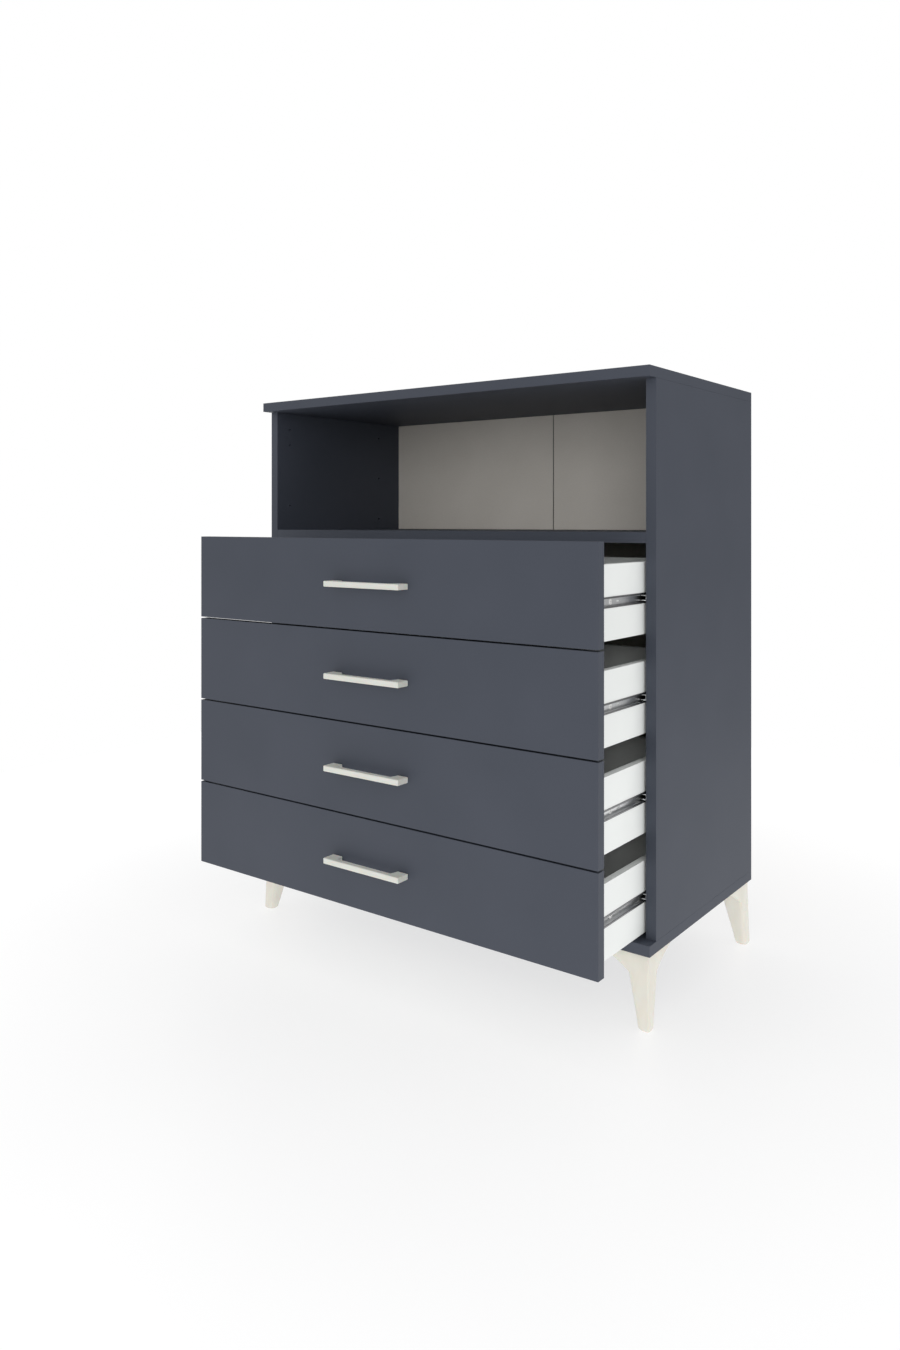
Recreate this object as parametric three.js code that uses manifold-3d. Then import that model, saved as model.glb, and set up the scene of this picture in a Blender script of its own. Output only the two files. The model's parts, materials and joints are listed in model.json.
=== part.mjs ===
// A chest of four drawers under an open niche, on four corner legs.
// Millimetres, +Z up, front towards -Y. The model stands on z = 0 with its drawers drawn out,
// and the origin is under the middle of its outer box.
// Inside the file x = 0 is the middle of the width, y = 0 the front edge of the side panels,
// and z = 0 the underside of the bottom board. The last group shifts all of it to the origin.

import * as THREE from "three";
import { mergeVertices } from "three/addons/utils/BufferGeometryUtils.js";
import Module from "manifold-3d";

const wasm = await Module();
wasm.setup();

// Carcass
const bodyWidth = 900;
const bodyDepth = 450;
const bodyHeight = 954;
const boardThickness = 18;
const boardOverhang = 24;
const jointGap = 0.2;

// Back panels and the strip that joins them
const backThickness = 3;
const backSetback = 16.6;
const backGrooveDepth = 8;
const backGroovePlay = 0.3;
const backSeam = 2.4;
const backSeamFromMiddle = 11;
const stripWidth = 20;
const stripThickness = 1.6;

// Holes for shelf pins in the niche
const pinHoleDiameter = 5;
const pinHoleDepth = 10;
const pinFrontSetback = 37;
const pinRearSetback = 94;
const pinHoleSides = 10;
const frontPinHeightShares = [0.206, 0.73, 0.861];
const rearPinHeightShares = [0.095, 0.48, 0.861];

// Drawer fronts
const drawerCount = 4;
const frontHeight = 160.4;
const frontThickness = 18;
const frontGap = 3;
const frontSideGap = 1.5;
const frontStandoff = 2;
const shelfCover = 5.6;
const drawnOut = 172;
const furthestOut = 250;

// Drawer boxes
const boxSideGap = 4.5;
const boxSideThickness = 12;
const boxBackThickness = 12;
const boxHeight = 118.5;
const boxLift = 5.7;
const boxLength = 350;
const bottomThickness = 3;
const bottomLift = 10;
const bottomGrooveDepth = 6;
const bottomGroovePlay = 0.3;

// Ball bearing slides
const railHeight = 17;
const railGrooveDepth = 7.5;
const railProud = 1;
const railSheet = 1.2;
const railLip = 1.4;
const cabinetRailHeight = 9.4;
const railSetback = 2;
const runningGap = 0.35;
const stopEarLength = 3;
const stopEarReach = 0.9;
const stopTabLength = 2;
const stopTabHeight = 6;
const stopGap = 0.5;
const ballDiameter = 2.2;
const ballPitch = 14;
const cageWebThickness = 1;
const cageFlangeThickness = 1.4;
const screwHoleDiameter = 4.4;
const screwHoleFromEnd = 71;
const slotFromEnd = 96;
const slotLength = 10.8;
const slotWidth = 2.8;
const holeSides = 8;

// Bar handles
const handleLength = 172;
const handleHeight = 10;
const handleReach = 26.6;
const handleBarDepth = 11.3;
const handleFootWidth = 21.6;
const handleFootFlare = 3.5;
const handleCornerRadius = 2;
const handleEdge = 0.9;

// Corner legs
const legHeight = 123;
const legInset = 5.5;
const legSplay = 3.5;
const legTopWidth = 52;
const legFlareWidth = 43;
const legShoulderWidth = 38;
const legShoulderDrop = 33;
const legFootWidth = 21.4;
const legFootRound = 2.5;
const legOuterRadius = 3;
const legSideRadius = 9;
const legInnerRadius = 6;
const wingReach = 92;
const wingTip = 3;
const wingDrop = 34;
const wingRoot = 34;
const wingThickness = 8;
const wingCurveShares = [0.41, 0.36];
const plateThickness = 3;
const plateHoleFromTip = 26;
const plateHoleFromFace = 16.5;
const cornerSteps = 3;

// One overrun serves every cutting body, so that no cut ends on a face
const overrun = 1;

// Places that follow from the sizes above
const halfWidth = bodyWidth / 2;
const sideInner = halfWidth - boardThickness;
const sideDepth = bodyDepth - boardOverhang;
const topBoardUnderside = bodyHeight - boardThickness;
const backFront = sideDepth - backSetback - backThickness;
const frontPitch = frontHeight + frontGap;
const frontsTop = boardThickness + drawerCount * frontPitch;
const shelfUnderside = frontsTop - shelfCover;
const shelfTop = shelfUnderside + boardThickness;
const boxHalf = sideInner - boxSideGap;
const boxFront = jointGap - frontStandoff;
const railCentre = boxLift + boxHeight / 2;
const railWebInner = boxHalf - railGrooveDepth + jointGap;
const railWebOuter = railWebInner + railSheet;
const cageInner = railWebOuter + runningGap;
const cageOuter = cageInner + cageWebThickness;
const cabinetRailTip = cageOuter + runningGap;
const cabinetRailBack = sideInner - jointGap;
const overlapFullyOut = boxFront + boxLength - furthestOut - railSetback;
const cageLength = overlapFullyOut - stopEarLength - stopTabLength - 2 * stopGap;
const slideMiddle = (railSetback + boxFront + boxLength) / 2;

// Finishes
const anthracite = new THREE.MeshStandardMaterial({ color: 0x50545f, roughness: 0.55, metalness: 0 });
const backGrey = new THREE.MeshStandardMaterial({ color: 0x8a857c, roughness: 0.7, metalness: 0 });
const boxWhite = new THREE.MeshStandardMaterial({ color: 0xe8eae8, roughness: 0.5, metalness: 0 });
const creamPlastic = new THREE.MeshStandardMaterial({ color: 0xdeddd0, roughness: 0.4, metalness: 0 });
const zincSteel = new THREE.MeshStandardMaterial({ color: 0x8b8c8e, roughness: 0.35, metalness: 0.9 });
const cagePlastic = new THREE.MeshStandardMaterial({ color: 0x1c1c1e, roughness: 0.5, metalness: 0 });

// Solids and back
function solid(geometry) {
  const bare = geometry.clone();
  bare.deleteAttribute("normal");
  bare.deleteAttribute("uv");
  const merged = mergeVertices(bare);
  const vertProperties = new Float32Array(merged.attributes.position.array);
  const triVerts = new Uint32Array(merged.index.array);
  return new wasm.Manifold(new wasm.Mesh({ numProp: 3, vertProperties, triVerts }));
}

function geometryOf(body) {
  const mesh = body.getMesh();
  const geometry = new THREE.BufferGeometry();
  geometry.setAttribute("position", new THREE.BufferAttribute(mesh.vertProperties, 3));
  geometry.setIndex(new THREE.BufferAttribute(mesh.triVerts, 1));
  const faceted = geometry.toNonIndexed();
  faceted.computeVertexNormals();
  return faceted;
}

function joined(geometries) {
  return geometryOf(geometries.map(solid).reduce((whole, part) => whole.add(part)));
}

function cut(geometry, cutters) {
  return geometryOf(cutters.map(solid).reduce((whole, part) => whole.subtract(part), solid(geometry)));
}

// A box between two corners
function block([x0, y0, z0], [x1, y1, z1]) {
  const box = new THREE.BoxGeometry(x1 - x0, y1 - y0, z1 - z0);
  return box.translate((x0 + x1) / 2, (y0 + y1) / 2, (z0 + z1) / 2);
}

// An outline drawn along one axis. Its points are (y, z) along x, (z, x) along y and (x, y) along z.
const axisX = new THREE.Vector3(1, 0, 0);
const axisY = new THREE.Vector3(0, 1, 0);
const axisZ = new THREE.Vector3(0, 0, 1);
const frames = { x: [axisY, axisZ, axisX], y: [axisZ, axisX, axisY], z: [axisX, axisY, axisZ] };

function prism(outline, axis, from, to) {
  const isShape = outline instanceof THREE.Shape;
  const shape = isShape ? outline : new THREE.Shape(outline.map(([a, b]) => new THREE.Vector2(a, b)));
  const settings = { depth: to - from, bevelEnabled: false, curveSegments: cornerSteps };
  const geometry = new THREE.ExtrudeGeometry(shape, settings).translate(0, 0, from);
  return geometry.applyMatrix4(new THREE.Matrix4().makeBasis(...frames[axis]));
}

// Corners given as [a, b, radius] become an outline with curved corners
function roundedOutline(corners) {
  return corners.flatMap(([a, b, radius], i) => {
    const here = new THREE.Vector2(a, b);
    if (radius === 0) return [[a, b]];
    const ends = [corners.at(i - 1), corners[(i + 1) % corners.length]].map(([c, d]) =>
      new THREE.Vector2(c, d).sub(here).setLength(radius).add(here),
    );
    const curve = new THREE.QuadraticBezierCurve(ends[0], here, ends[1]);
    return curve.getPoints(cornerSteps).map((point) => [point.x, point.y]);
  });
}

// A skin through rings of as many points each, from the lowest ring to the highest
function loft(rings) {
  const count = rings[0].points.length;
  const positions = rings.flatMap(({ points, z }) => points.flatMap(([x, y]) => [x, y, z]));
  const index = [];
  for (let level = 0; level < rings.length - 1; level++) {
    for (let i = 0; i < count; i++) {
      const low = level * count + i;
      const lowNext = level * count + ((i + 1) % count);
      index.push(low, lowNext, lowNext + count, low, lowNext + count, low + count);
    }
  }
  const top = (rings.length - 1) * count;
  const ring = rings[0].points.map(([x, y]) => new THREE.Vector2(x, y));
  for (const [a, b, c] of THREE.ShapeUtils.triangulateShape(ring, [])) {
    index.push(a, c, b, top + a, top + b, top + c);
  }
  const geometry = new THREE.BufferGeometry();
  geometry.setAttribute("position", new THREE.Float32BufferAttribute(positions, 3));
  geometry.setIndex(index);
  return geometry;
}

function piece(name, geometry, material, hand = 1) {
  const mesh = new THREE.Mesh(geometry, material);
  mesh.name = name;
  mesh.scale.x = hand;
  return mesh;
}

// Each pair is drawn once, for the right-hand side, and mirrored for the left
const hands = { left: -1, right: 1 };

// Top and bottom boards carry a stopped groove for the back panels
function horizontalBoard(z, grooveFace) {
  const board = block([-halfWidth, -boardOverhang, z], [halfWidth, sideDepth, z + boardThickness]);
  const reach = sideInner + backGrooveDepth;
  const grooveStart = backFront - backGroovePlay / 2;
  const grooveEnd = backFront + backThickness + backGroovePlay / 2;
  const groove = block(
    [-reach, grooveStart, grooveFace - backGrooveDepth],
    [reach, grooveEnd, grooveFace + backGrooveDepth],
  );
  return cut(board, [groove]);
}

// A side panel has a groove for the back panel and blind holes for shelf pins
function sidePanel() {
  const grooveStart = backFront - backGroovePlay / 2;
  const grooveEnd = backFront + backThickness + backGroovePlay / 2;
  const grooveFloor = sideInner + backGrooveDepth;
  const plan = [
    [sideInner, 0],
    [halfWidth, 0],
    [halfWidth, sideDepth],
    [sideInner, sideDepth],
    [sideInner, grooveEnd],
    [grooveFloor, grooveEnd],
    [grooveFloor, grooveStart],
    [sideInner, grooveStart],
  ];
  const panel = prism(plan, "z", boardThickness + jointGap, topBoardUnderside - jointGap);
  const nicheHeight = topBoardUnderside - shelfTop;
  const columns = [
    [pinFrontSetback, frontPinHeightShares],
    [sideDepth - pinRearSetback, rearPinHeightShares],
  ];
  const holes = columns.flatMap(([y, shares]) =>
    shares.map((share) => {
      const length = pinHoleDepth + overrun;
      const radius = pinHoleDiameter / 2;
      const hole = new THREE.CylinderGeometry(radius, radius, length, pinHoleSides);
      hole.rotateZ(Math.PI / 2);
      return hole.translate(sideInner - overrun + length / 2, y, shelfTop + share * nicheHeight);
    }),
  );
  return cut(panel, holes);
}

function nicheShelf() {
  return block(
    [jointGap - sideInner, 0, shelfUnderside],
    [sideInner - jointGap, backFront - jointGap, shelfTop],
  );
}

// The back is two thin panels that meet at a seam off the middle of the width
function backPanel(inner, outer) {
  const intoGroove = backGrooveDepth - jointGap;
  return block(
    [inner, backFront, boardThickness - intoGroove],
    [outer, backFront + backThickness, topBoardUnderside + intoGroove],
  );
}

// The joining strip is a T: its rib fills the seam and its flange lies behind both panels
function backStrip() {
  const rib = backSeam / 2 - jointGap;
  const behind = backFront + backThickness + jointGap;
  const plan = [
    [backSeamFromMiddle - rib, backFront + backThickness / 2],
    [backSeamFromMiddle + rib, backFront + backThickness / 2],
    [backSeamFromMiddle + rib, behind],
    [backSeamFromMiddle + stripWidth / 2, behind],
    [backSeamFromMiddle + stripWidth / 2, behind + stripThickness],
    [backSeamFromMiddle - stripWidth / 2, behind + stripThickness],
    [backSeamFromMiddle - stripWidth / 2, behind],
    [backSeamFromMiddle - rib, behind],
  ];
  return prism(plan, "z", boardThickness + jointGap, topBoardUnderside - jointGap);
}

// A corner leg, drawn with the board's corner at x = 0, y = 0 and the chest's middle towards +x, +y.
// A tapering post splays out to the foot, two wings run under the edges of the board,
// and a three-sided plate takes the screws.
function legRing(z, width, shrink) {
  const start = legInset - (legSplay * -z) / legHeight + shrink;
  const end = start + width - 2 * shrink;
  const corners = [
    [start, start, legOuterRadius],
    [end, start, legSideRadius],
    [end, end, legInnerRadius],
    [start, end, legSideRadius],
  ];
  return { points: roundedOutline(corners), z };
}

function legWing() {
  const shape = new THREE.Shape();
  const [alongShare, downShare] = wingCurveShares;
  const far = legInset + wingReach;
  const near = legInset + wingRoot;
  shape.moveTo(legInset, 0);
  shape.lineTo(far, 0);
  shape.lineTo(far, -wingTip);
  shape.quadraticCurveTo(
    near + alongShare * (wingReach - wingRoot),
    -wingTip - downShare * wingDrop,
    near,
    -wingDrop,
  );
  shape.lineTo(legInset, -wingDrop);
  return shape;
}

function legPlate() {
  const shape = new THREE.Shape();
  const far = legInset + wingReach;
  const near = legInset + wingThickness;
  shape.moveTo(legInset, legInset);
  shape.lineTo(far, legInset);
  shape.lineTo(far, near);
  shape.lineTo(near, far);
  shape.lineTo(legInset, far);
  return prism(shape, "z", -plateThickness, 0);
}

function leg() {
  const taper = (legShoulderWidth - legFootWidth) / (legHeight - legShoulderDrop);
  const roundedWidth = legFootWidth + taper * legFootRound;
  const post = loft([
    legRing(-legHeight, legFootWidth, legFootRound / 2),
    legRing(legFootRound - legHeight, roundedWidth, 0),
    legRing(-legShoulderDrop, legShoulderWidth, 0),
    legRing(-legShoulderDrop / 2, legFlareWidth, 0),
    legRing(0, legTopWidth, 0),
  ]);
  const wing = legWing();
  const alongFront = prism(wing, "z", -legInset - wingThickness, -legInset);
  alongFront.rotateX(Math.PI / 2);
  const alongSide = prism(wing, "x", legInset, legInset + wingThickness);
  const far = legInset + wingReach - plateHoleFromTip;
  const near = legInset + plateHoleFromFace;
  const screws = [
    [far, near],
    [near, far],
  ].map(([x, y]) => {
    const radius = screwHoleDiameter / 2;
    const bore = new THREE.CylinderGeometry(radius, radius, wingDrop, holeSides);
    bore.rotateX(Math.PI / 2);
    return bore.translate(x, y, 0);
  });
  return cut(joined([post, alongFront, alongSide, legPlate()]), screws);
}

// A drawer front has a stopped groove in its rear face for the drawer's bottom
function drawerFront() {
  const rear = -frontStandoff;
  const half = halfWidth - frontSideGap;
  const board = block([-half, rear - frontThickness, 0], [half, rear, frontHeight]);
  const reach = boxHalf - boxSideThickness + bottomGrooveDepth;
  const low = boxLift + bottomLift;
  const groove = block(
    [-reach, rear - bottomGrooveDepth, low],
    [reach, rear + overrun, low + bottomThickness + bottomGroovePlay],
  );
  return cut(board, [groove]);
}

// A drawer side has the slide's groove outside and the bottom's groove inside
function drawerSide() {
  const inner = boxHalf - boxSideThickness;
  const top = boxLift + boxHeight;
  const low = boxLift + bottomLift;
  const high = low + bottomThickness + bottomGroovePlay;
  const grooveHalf = railHeight / 2 + jointGap;
  const section = [
    [boxLift, inner],
    [boxLift, boxHalf],
    [railCentre - grooveHalf, boxHalf],
    [railCentre - grooveHalf, boxHalf - railGrooveDepth],
    [railCentre + grooveHalf, boxHalf - railGrooveDepth],
    [railCentre + grooveHalf, boxHalf],
    [top, boxHalf],
    [top, inner],
    [high, inner],
    [high, inner + bottomGrooveDepth],
    [low, inner + bottomGrooveDepth],
    [low, inner],
  ];
  return prism(section, "y", boxFront, boxFront + boxLength);
}

function drawerBack() {
  const half = boxHalf - boxSideThickness - jointGap;
  const rear = boxFront + boxLength;
  const low = boxLift + bottomLift + bottomThickness + bottomGroovePlay;
  return block([-half, rear - boxBackThickness, low], [half, rear, boxLift + boxHeight]);
}

function drawerBottom() {
  const half = boxHalf - boxSideThickness + bottomGrooveDepth - jointGap;
  const front = jointGap - frontStandoff - bottomGrooveDepth;
  const low = boxLift + bottomLift + bottomGroovePlay / 2;
  return block([-half, front, low], [half, boxFront + boxLength, low + bottomThickness]);
}

// A bar handle is one moulding: a bar on two feet whose inner faces lean out towards the drawer
function drawerHandle() {
  const half = handleLength / 2;
  const barBack = handleBarDepth - handleReach;
  const footInner = half - handleFootWidth;
  const corners = [
    [-half, 0, 0],
    [-half, -handleReach, handleCornerRadius],
    [half, -handleReach, handleCornerRadius],
    [half, 0, 0],
    [footInner, 0, 0],
    [footInner - handleFootFlare, barBack, handleCornerRadius],
    [handleFootFlare - footInner, barBack, handleCornerRadius],
    [-footInner, 0, 0],
  ];
  const shape = new THREE.Shape(roundedOutline(corners).map(([x, y]) => new THREE.Vector2(x, y)));
  const geometry = new THREE.ExtrudeGeometry(shape, {
    depth: handleHeight - 2 * handleEdge,
    bevelThickness: handleEdge,
    bevelSize: handleEdge,
    bevelOffset: -handleEdge,
    bevelSegments: 1,
  });
  const frontFace = -frontStandoff - frontThickness - jointGap;
  return geometry.translate(0, frontFace, (frontHeight - handleHeight) / 2 + handleEdge);
}

// Screw holes and slots go through a rail's web near both of its ends
function webHoles(start, x) {
  const depth = railHeight;
  const radius = screwHoleDiameter / 2;
  const mirrored = (fromEnd) => [start + fromEnd, start + boxLength - fromEnd];
  const round = mirrored(screwHoleFromEnd).map((y) => {
    const hole = new THREE.CylinderGeometry(radius, radius, depth, holeSides);
    hole.rotateZ(Math.PI / 2);
    return hole.translate(x, y, railCentre);
  });
  const slots = mirrored(slotFromEnd).map((y) =>
    block(
      [x - depth / 2, y - slotLength / 2, railCentre - slotWidth / 2],
      [x + depth / 2, y + slotLength / 2, railCentre + slotWidth / 2],
    ),
  );
  return [...round, ...slots];
}

// The drawer's rail is a wide channel in the groove of the drawer side, lipped towards the cabinet
function drawerRail() {
  const tip = boxHalf + railProud;
  const half = railHeight / 2;
  const inside = half - railSheet;
  const section = [
    [-half, railWebInner],
    [-half, tip],
    [railLip - inside, tip],
    [railLip - inside, tip - railSheet],
    [-inside, tip - railSheet],
    [-inside, railWebOuter],
    [inside, railWebOuter],
    [inside, tip - railSheet],
    [inside - railLip, tip - railSheet],
    [inside - railLip, tip],
    [half, tip],
    [half, railWebInner],
  ].map(([z, x]) => [z + railCentre, x]);
  const rear = boxFront + boxLength;
  const channel = prism(section, "y", boxFront, rear);
  const tab = block(
    [railWebInner, rear - stopTabLength, railCentre - stopTabHeight / 2],
    [cabinetRailTip, rear, railCentre + stopTabHeight / 2],
  );
  return cut(joined([channel, tab]), webHoles(boxFront, railWebInner));
}

// The cabinet's rail is a narrow channel on the side panel, with two ears that stop the cage
function cabinetRail() {
  const half = cabinetRailHeight / 2;
  const inside = half - railSheet;
  const section = [
    [-half, cabinetRailTip],
    [-half, cabinetRailBack],
    [half, cabinetRailBack],
    [half, cabinetRailTip],
    [inside, cabinetRailTip],
    [inside, cabinetRailBack - railSheet],
    [-inside, cabinetRailBack - railSheet],
    [-inside, cabinetRailTip],
  ].map(([z, x]) => [z + railCentre, x]);
  const channel = prism(section, "y", railSetback, railSetback + boxLength);
  const ears = [-half, inside].map((z) =>
    block(
      [cabinetRailTip - stopEarReach, railSetback, railCentre + z],
      [cabinetRailBack - railSheet, railSetback + stopEarLength, railCentre + z + railSheet],
    ),
  );
  return cut(joined([channel, ...ears]), webHoles(railSetback, cabinetRailBack));
}

// The ball cage runs between the two rails, with a row of balls in each flange
function ballCage() {
  const cabinetHalf = cabinetRailHeight / 2;
  const drawerHalf = railHeight / 2 - railSheet;
  const row = (cabinetHalf + drawerHalf) / 2;
  const high = row + cageFlangeThickness / 2;
  const low = row - cageFlangeThickness / 2;
  const tip = boxHalf + railProud - railSheet - runningGap;
  const section = [
    [-high, cageInner],
    [-high, tip],
    [-low, tip],
    [-low, cageOuter],
    [low, cageOuter],
    [low, tip],
    [high, tip],
    [high, cageInner],
  ].map(([z, x]) => [z + railCentre, x]);
  const strip = prism(section, "y", -cageLength / 2, cageLength / 2);
  const count = Math.floor((cageLength - ballPitch) / ballPitch) + 1;
  const balls = [];
  for (let i = 0; i < count; i++) {
    const y = (i - (count - 1) / 2) * ballPitch;
    for (const z of [-row, row]) {
      const ball = new THREE.IcosahedronGeometry(ballDiameter / 2, 0);
      balls.push(ball.translate((cageOuter + tip) / 2, y, railCentre + z));
    }
  }
  return joined([strip, ...balls]);
}

// Assembly
const chest = new THREE.Group();
chest.name = "chest";

function buildCarcass() {
  const carcass = new THREE.Group();
  carcass.add(
    piece("bottom_board", horizontalBoard(0, boardThickness), anthracite),
    piece("top_board", horizontalBoard(topBoardUnderside, topBoardUnderside), anthracite),
    piece("niche_shelf", nicheShelf(), anthracite),
  );
  const panel = sidePanel();
  for (const [side, hand] of Object.entries(hands)) {
    carcass.add(piece(`side_panel_${side}`, panel, anthracite, hand));
  }
  const panelEnd = sideInner + backGrooveDepth - jointGap;
  carcass.add(
    piece("back_panel_left", backPanel(-panelEnd, backSeamFromMiddle - backSeam / 2), backGrey),
    piece("back_panel_right", backPanel(backSeamFromMiddle + backSeam / 2, panelEnd), backGrey),
    piece("back_joint_strip", backStrip(), cagePlastic),
  );
  const cornerLeg = leg();
  const rows = { front: [-boardOverhang, 1], rear: [sideDepth, -1] };
  for (const [row, [y, inward]] of Object.entries(rows)) {
    for (const [side, hand] of Object.entries(hands)) {
      const mesh = piece(`leg_${row}_${side}`, cornerLeg, creamPlastic, -hand);
      mesh.scale.y = inward;
      mesh.position.set(hand * halfWidth, y, -jointGap);
      carcass.add(mesh);
    }
  }
  return carcass;
}

// One drawer with its slides, numbered from the top. The drawer itself is drawn out,
// and its ball cages come half as far.
function buildDrawer(number, shapes) {
  const z = boardThickness + frontGap + (drawerCount - number) * frontPitch;
  const fixed = new THREE.Group();
  const drawer = new THREE.Group();
  const cages = new THREE.Group();
  fixed.position.z = z;
  drawer.position.set(0, -drawnOut, z);
  cages.position.set(0, slideMiddle - drawnOut / 2, z);
  drawer.add(
    piece(`drawer_${number}_front`, shapes.front, anthracite),
    piece(`drawer_${number}_handle`, shapes.handle, creamPlastic),
    piece(`drawer_${number}_back`, shapes.back, boxWhite),
    piece(`drawer_${number}_bottom`, shapes.bottom, boxWhite),
  );
  for (const [side, hand] of Object.entries(hands)) {
    drawer.add(piece(`drawer_${number}_side_${side}`, shapes.side, boxWhite, hand));
    drawer.add(piece(`drawer_${number}_rail_${side}`, shapes.drawerRail, zincSteel, hand));
    fixed.add(piece(`cabinet_rail_${number}_${side}`, shapes.cabinetRail, zincSteel, hand));
    cages.add(piece(`ball_cage_${number}_${side}`, shapes.cage, cagePlastic, hand));
  }
  const whole = new THREE.Group();
  whole.add(fixed, drawer, cages);
  return whole;
}

chest.add(buildCarcass());
const drawerShapes = {
  front: drawerFront(),
  side: drawerSide(),
  back: drawerBack(),
  bottom: drawerBottom(),
  handle: drawerHandle(),
  drawerRail: drawerRail(),
  cabinetRail: cabinetRail(),
  cage: ballCage(),
};
for (let number = 1; number <= drawerCount; number++) {
  chest.add(buildDrawer(number, drawerShapes));
}

const foremost = -frontStandoff - frontThickness - jointGap - handleReach - drawnOut;
chest.position.set(0, -(foremost + sideDepth) / 2, legHeight + jointGap);

const group = new THREE.Group();
group.add(chest);

export default group;
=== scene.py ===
# %% [markdown]
# A chest of four drawers under an open niche
#
# The real chest is flat-pack furniture: matt anthracite board outside, white drawer boxes, steel
# slides, cream plastic handles and legs. Its boards, drawers, slides and legs were drawn as solids
# first and come in here at their true size, in metres. They could be modelled again from scratch,
# but then the drawers might no longer fit their slides. So this lesson keeps every solid where it
# is and adds what a solid can't show: finishes, softened edges, screws and smooth bearing balls.

# %% Bring in the solids
import json
import math

import bmesh
import bpy
from mathutils import Matrix, Vector


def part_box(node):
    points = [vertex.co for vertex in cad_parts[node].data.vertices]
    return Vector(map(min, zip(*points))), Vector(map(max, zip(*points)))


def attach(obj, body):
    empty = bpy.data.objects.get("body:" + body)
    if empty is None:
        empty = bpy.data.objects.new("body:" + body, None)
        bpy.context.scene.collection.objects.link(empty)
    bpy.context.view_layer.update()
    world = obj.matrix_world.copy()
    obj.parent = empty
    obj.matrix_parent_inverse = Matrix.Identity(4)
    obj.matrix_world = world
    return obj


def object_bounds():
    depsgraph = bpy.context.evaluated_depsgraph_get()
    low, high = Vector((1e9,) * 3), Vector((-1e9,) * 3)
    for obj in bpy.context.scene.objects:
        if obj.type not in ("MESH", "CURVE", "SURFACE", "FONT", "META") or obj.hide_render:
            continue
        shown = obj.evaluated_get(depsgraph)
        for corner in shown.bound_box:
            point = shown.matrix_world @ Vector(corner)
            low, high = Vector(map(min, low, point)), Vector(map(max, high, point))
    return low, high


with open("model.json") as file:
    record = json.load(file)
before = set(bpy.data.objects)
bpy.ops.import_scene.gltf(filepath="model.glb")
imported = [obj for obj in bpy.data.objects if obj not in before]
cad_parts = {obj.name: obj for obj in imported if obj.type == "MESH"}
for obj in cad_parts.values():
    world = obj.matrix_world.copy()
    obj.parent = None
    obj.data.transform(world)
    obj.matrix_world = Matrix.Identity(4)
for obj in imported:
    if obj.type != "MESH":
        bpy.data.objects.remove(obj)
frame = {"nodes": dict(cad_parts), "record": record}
cad_low, cad_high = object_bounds()
nodes = frame["nodes"]
drawer_numbers = (1, 2, 3, 4)
hands = {"left": -1, "right": 1}
print("outer size in metres:", [round(value, 4) for value in cad_high - cad_low])

# %% [markdown]
# The camera
#
# The picture was taken with a level camera, so the chest's upright edges stay parallel. A tilted
# camera would make them lean. A photographer who wants to see lower without tilting moves the lens
# down against the film, and Blender's camera has the same move: the vertical shift. A new camera
# looks straight down, so a quarter turn makes it level. It stands to the right of the chest, a
# quarter of a metre lower than its top board.

# %% Set up the camera
camera_place = Vector((1.17443, -1.62767, 0.82398))
camera_turn = math.radians(36.88)
quarter_turn = math.pi / 2
focal_length = 27.125
sensor_size = 36
lens_drop = -0.1134

camera = bpy.data.objects.new("camera", bpy.data.cameras.new("camera"))
camera.location = camera_place
camera.rotation_euler = (quarter_turn, 0, camera_turn)
camera.data.lens = focal_length
camera.data.sensor_width = sensor_size
camera.data.shift_y = lens_drop
bpy.context.scene.collection.objects.link(camera)
bpy.context.scene.camera = camera
print("camera", round(camera_place.length, 2), "m from the middle of the floor under the chest")

# %% [markdown]
# A room to light the chest
#
# A product studio wraps the object in soft white light, because small lamps throw hard shadows
# that hide the shapes. In Blender the room around a scene is its world. A world can be one colour
# or a picture, but here it is worked out from the direction in which a ray leaves, with a few
# sums. The Standard view is chosen because it shows white as white.

# %% Start the room and a way to do sums in it
room = bpy.data.worlds.new("room")
room.use_nodes = True
bpy.context.scene.world = room
bpy.context.scene.view_settings.view_transform = "Standard"


def reckon(operation, first, second):
    """A sum in the room's nodes. Both values are sockets or plain numbers."""
    step = room.node_tree.nodes.new("ShaderNodeMath")
    step.operation = operation
    for socket, value in zip(step.inputs, (first, second)):
        if isinstance(value, bpy.types.NodeSocket):
            room.node_tree.links.new(value, socket)
        else:
            socket.default_value = value
    return step.outputs[0]


look_direction = room.node_tree.nodes.new("ShaderNodeTexCoord")
along = room.node_tree.nodes.new("ShaderNodeSeparateXYZ")
room.node_tree.links.new(look_direction.outputs["Generated"], along.inputs["Vector"])
print("a direction in the room has the parts", [part.name for part in along.outputs])

# %% [markdown]
# Light from every side
#
# A room of one even white would light the top of the chest as brightly as its foot, and in the
# picture the boards get lighter towards the floor. So each wall glows by its own amount, given
# below as a pair for each axis: the wall on its low side and the wall on its high side. A
# direction's share of a wall is the square of its part along that wall's axis, and the three
# squares always add up to one. The camera itself sees plain white behind the chest.

# %% Make the walls glow
wall_glow = {"X": (0.85, 1.01), "Y": (0.81, 0.30), "Z": (0, 0.87)}
white = (1, 1, 1, 1)

glow = 0
for axis, (low_side, high_side) in wall_glow.items():
    part = along.outputs[axis]
    extra = reckon("MULTIPLY", high_side - low_side, reckon("GREATER_THAN", part, 0))
    wall = reckon("ADD", low_side, extra)
    glow = reckon("ADD", glow, reckon("MULTIPLY", wall, reckon("MULTIPLY", part, part)))
seen_by = room.node_tree.nodes.new("ShaderNodeLightPath")
strength = reckon("MAXIMUM", glow, seen_by.outputs["Is Camera Ray"])
background = room.node_tree.nodes["Background"]
background.inputs["Color"].default_value = white
room.node_tree.links.new(strength, background.inputs["Strength"])
print("walls on the low and high side of each axis glow by", wall_glow)

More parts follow.
